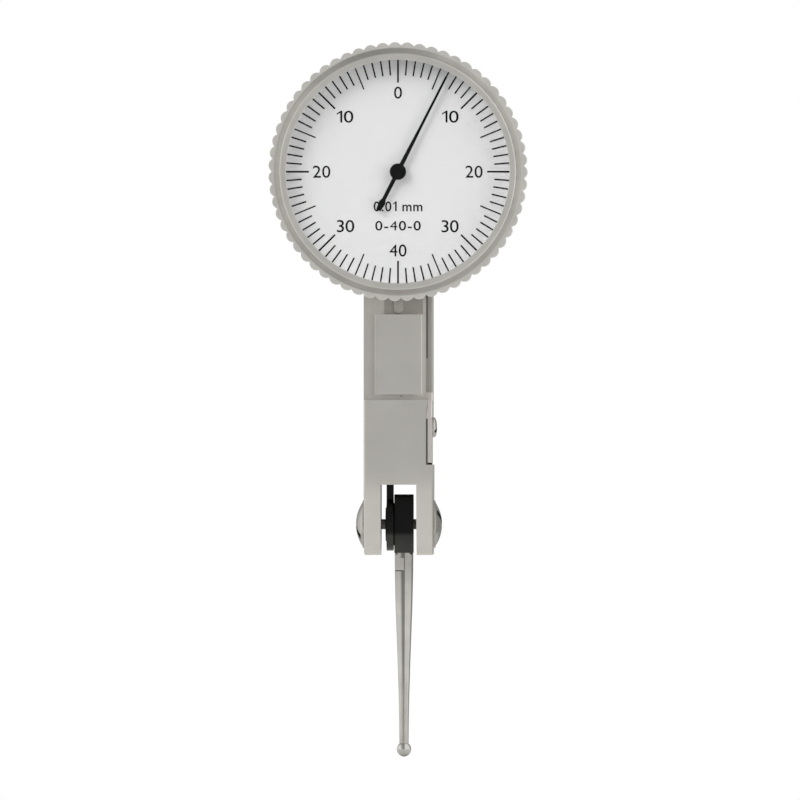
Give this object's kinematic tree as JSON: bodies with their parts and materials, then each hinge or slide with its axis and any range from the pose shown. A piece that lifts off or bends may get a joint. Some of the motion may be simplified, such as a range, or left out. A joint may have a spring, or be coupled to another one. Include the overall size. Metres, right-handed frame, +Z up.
{
  "type": "dial test indicator",
  "caption": "Lever-type dial test indicator: round dial with a scalloped turning bezel, dovetailed body, fork with friction-held stylus, and a geared movement to the pointer.",
  "frame": {"origin": "on the flat of the rear dovetail, level with the centre of the dial", "axes": "+Z up along the body, away from the stylus; +Y out of the rear dovetail, away from whoever reads the dial; +X to the reader's right"},
  "size_m": [0.0352, 0.0194, 0.0973],
  "materials": {
    "satin_chrome": "satin chrome plate on steel",
    "bezel_chrome": "satin, slightly warm silver",
    "polished_steel": "polished",
    "plain_steel": "fine turned",
    "stylus_steel": "ground, satin",
    "blackened_steel": "black oxide, dull",
    "movement_brass": "plain brass",
    "blued_steel": "heat blued",
    "ruby": "polished synthetic ruby",
    "dial_face": "silvered, matt, printed in black",
    "crystal": "clear",
    "gasket_rubber": "matt",
    "pointer_black": "black painted"
  },
  "bodies": {
    "housing": {"body_frame": "satin_chrome", "side_cover": "satin_chrome", "side_cover_screw_1": "polished_steel", "side_cover_screw_2": "polished_steel", "side_cover_screw_3": "polished_steel", "locating_tongue": "plain_steel", "pivot_jewel_left": "ruby", "pivot_jewel_right": "ruby", "pivot_cap_left": "polished_steel", "pivot_cap_right": "polished_steel", "lever_stop_pin_front": "plain_steel", "lever_stop_pin_rear": "plain_steel", "crown_jewel_left": "ruby", "crown_jewel_right": "ruby", "movement_plate": "movement_brass", "movement_plate_screw_1": "blued_steel", "movement_plate_screw_2": "blued_steel", "movement_plate_screw_3": "blued_steel", "movement_plate_screw_4": "blued_steel", "centre_bridge": "movement_brass", "centre_bridge_screw": "blued_steel", "centre_jewel_rear": "ruby", "centre_end_stone": "ruby", "centre_jewel_front": "ruby", "hairspring": "blued_steel", "hairspring_stud": "movement_brass", "case_bowl": "satin_chrome", "case_bowl_screw_1": "blued_steel", "case_bowl_screw_2": "blued_steel", "case_bowl_screw_3": "blued_steel", "case_bowl_screw_4": "blued_steel", "bezel_wire": "plain_steel"},
    "bezel": {"bezel_ring": "bezel_chrome", "crystal": "crystal", "crystal_gasket": "gasket_rubber", "dial_spacer_ring": "satin_chrome", "dial_plate": "dial_face", "dial_retaining_ring": "plain_steel"},
    "lever": {"lever_arm": "blackened_steel", "lever_washer": "blackened_steel", "sector_gear": "movement_brass", "sector_rivet_1": "plain_steel", "sector_rivet_2": "plain_steel", "friction_washer": "blackened_steel", "pivot_shaft": "plain_steel"},
    "stylus": {"stylus_block": "blackened_steel", "stylus_shank": "stylus_steel", "ball_tip": "polished_steel"},
    "crown": {"crown_arbor": "plain_steel", "crown_pinion": "plain_steel", "crown_wheel": "movement_brass"},
    "centre": {"centre_arbor": "plain_steel", "hairspring_collet": "movement_brass", "pointer": "pointer_black", "pointer_hub": "pointer_black"}
  },
  "joints": [
    {"name": "bezel_turn", "type": "hinge", "parent": "housing", "child": "bezel", "pos_m": [0, -0.0165, 0], "axis": [0, 1, 0], "continuous": true},
    {"name": "lever_swing", "type": "hinge", "parent": "housing", "child": "lever", "pos_m": [0, -0.0076, -0.048], "axis": [1, 0, 0], "range_deg": [-1.55, 1.55], "stiffness_Nm_per_rad": 0.15},
    {"name": "stylus_swivel", "type": "hinge", "parent": "lever", "child": "stylus", "pos_m": [0, -0.0076, -0.048], "axis": [1, 0, 0], "range_deg": [-115, 115]},
    {"name": "crown_spin", "type": "hinge", "parent": "housing", "child": "crown", "pos_m": [0, -0.0076, 0], "axis": [1, 0, 0], "range_deg": [-47, 47]},
    {"name": "centre_spin", "type": "hinge", "parent": "housing", "child": "centre", "pos_m": [0, -0.0165, 0], "axis": [0, 1, 0], "range_deg": [-376, 376], "deforming": ["hairspring"]}
  ],
  "couplings": [
    {"joint": "crown_spin", "follows": "lever_swing", "ratio": -30.125},
    {"joint": "centre_spin", "follows": "lever_swing", "ratio": -241}
  ]
}
